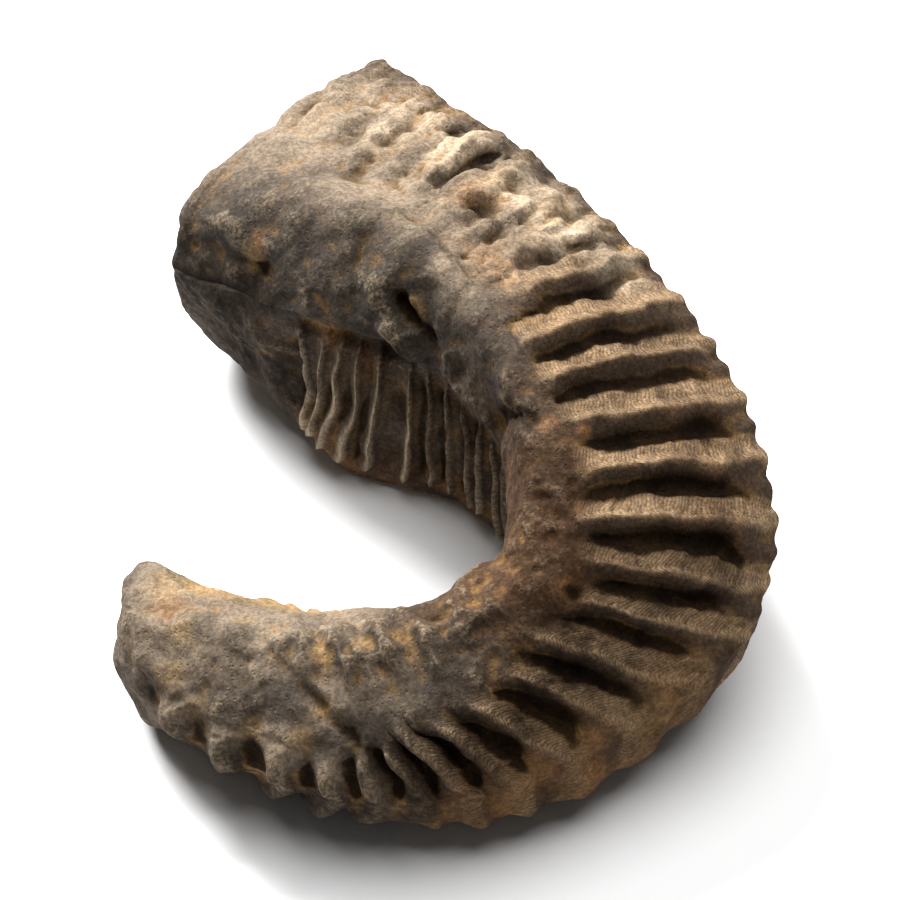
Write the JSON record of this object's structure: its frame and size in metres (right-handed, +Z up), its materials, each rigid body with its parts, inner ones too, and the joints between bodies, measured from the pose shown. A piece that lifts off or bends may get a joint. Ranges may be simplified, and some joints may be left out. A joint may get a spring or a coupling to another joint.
{
  "type": "fossil rastellum oyster",
  "caption": "Fossil oyster shell of C-shaped plan, its two ribbed valves closed on each other along a toothed seam.",
  "frame": {"origin": "middle of the bounding box, on the surface that the shell lies on", "axes": "+Z up through the upper valve's crown, +Y from the C's front arm to the beak arm at the back, the C's mouth opening towards -X"},
  "size_m": [0.078, 0.1074, 0.0382],
  "materials": {
    "upper_valve": "rough, weathered, grey and tan with ochre in the furrows",
    "lower_valve": "rough, weathered, ochre brown with pale blades"
  },
  "bodies": {
    "root": {"upper_valve": "upper_valve", "lower_valve": "lower_valve"}
  },
  "joints": []
}
